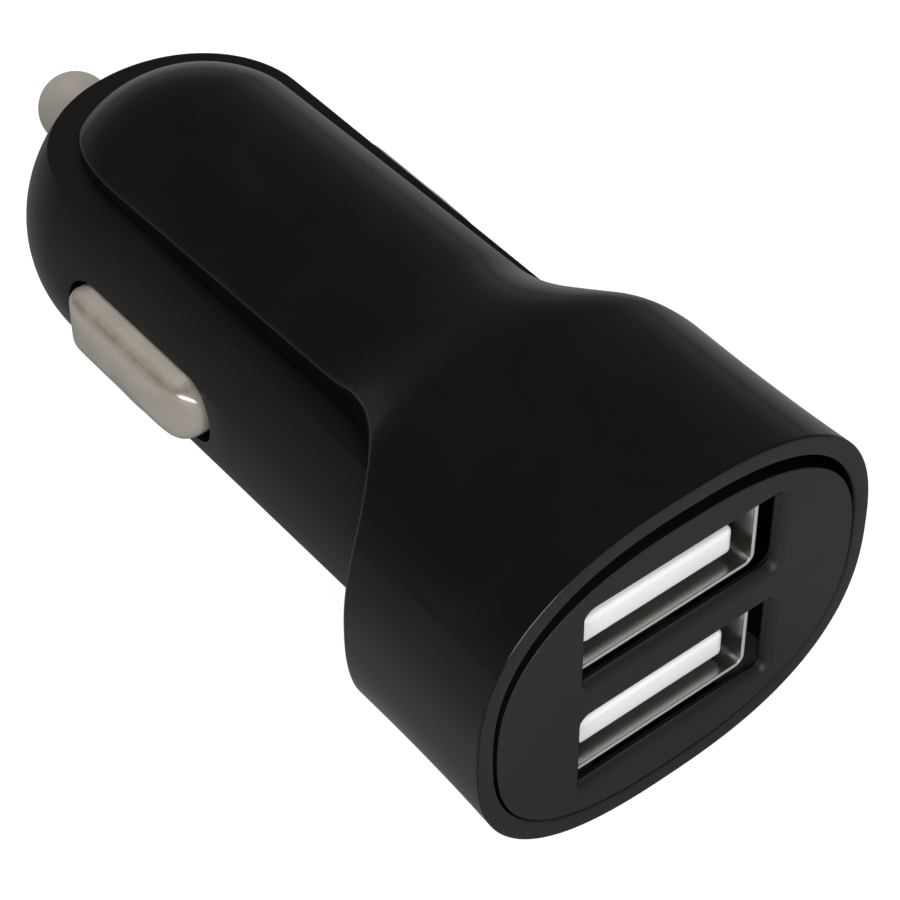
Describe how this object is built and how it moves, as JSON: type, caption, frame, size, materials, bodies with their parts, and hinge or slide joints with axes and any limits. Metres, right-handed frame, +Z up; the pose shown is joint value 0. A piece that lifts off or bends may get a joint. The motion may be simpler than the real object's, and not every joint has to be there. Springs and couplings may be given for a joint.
{
  "type": "car usb charger plug",
  "caption": "Black car charger plug for a 12 V lighter socket: oval head with USB sockets in a recessed face, round barrel with sprung side contacts and a sprung tip.",
  "frame": {"origin": "middle of the front face, on the barrel's axis, in the plane of the rim", "axes": "+Y along the barrel towards the tip, +X to the right, +Z up; the two sockets stand one above the other and look along -Y"},
  "size_m": [0.0286, 0.061, 0.0238],
  "materials": {
    "cover_black": "mirror gloss, injection moulded",
    "barrel_black": "satin",
    "plate_grey": "fine satin",
    "nickel": "satin nickel plating",
    "shell_steel": "bright tinned sheet",
    "spring_steel": "plain",
    "socket_white": "satin",
    "contact_gold": "gold flash",
    "board": "solder mask",
    "ferrite": "matt",
    "copper": "enamelled wire",
    "package_black": "moulded",
    "ceramic": "matt"
  },
  "bodies": {
    "housing": {"cover": "cover_black", "barrel_body": "barrel_black", "face_plate": "plate_grey", "tip_spring": "spring_steel", "spring_seat": "nickel", "side_spring_left": "spring_steel", "side_spring_right": "spring_steel", "main_board": "board", "port_board": "board", "usb_shell_upper": "shell_steel", "usb_shell_lower": "shell_steel", "usb_insulator_upper": "socket_white", "usb_insulator_lower": "socket_white", "inductor_core": "ferrite", "inductor_winding": "copper", "input_capacitor": "package_black", "output_capacitor": "package_black", "converter_chip": "package_black", "catch_diode": "package_black", "chip_fuse": "ceramic", "chip_resistor_1": "package_black", "chip_resistor_2": "package_black", "chip_capacitor_1": "ceramic", "chip_capacitor_2": "ceramic", "usb_pin_upper_1": "contact_gold", "usb_pin_lower_1": "contact_gold", "link_pin_1": "contact_gold", "usb_pin_upper_2": "contact_gold", "usb_pin_lower_2": "contact_gold", "link_pin_2": "contact_gold", "usb_pin_upper_3": "contact_gold", "usb_pin_lower_3": "contact_gold", "link_pin_3": "contact_gold", "usb_pin_upper_4": "contact_gold", "usb_pin_lower_4": "contact_gold", "link_pin_4": "contact_gold"},
    "tip": {"tip_contact": "nickel"},
    "contact_left": {"side_contact_left": "nickel"},
    "contact_right": {"side_contact_right": "nickel"}
  },
  "joints": [
    {"name": "tip_press", "type": "slide", "parent": "housing", "child": "tip", "axis": [0, -1, 0], "range_m": [0, 0.003], "stiffness_N_per_m": 600, "springref_m": -0.001, "deforming": ["tip_spring"]},
    {"name": "contact_left_press", "type": "slide", "parent": "housing", "child": "contact_left", "axis": [1, 0, 0], "range_m": [0, 0.0014], "stiffness_N_per_m": 900, "springref_m": -0.0006, "deforming": ["side_spring_left"]},
    {"name": "contact_right_press", "type": "slide", "parent": "housing", "child": "contact_right", "axis": [-1, 0, 0], "range_m": [0, 0.0014], "stiffness_N_per_m": 900, "springref_m": -0.0006, "deforming": ["side_spring_right"]}
  ]
}
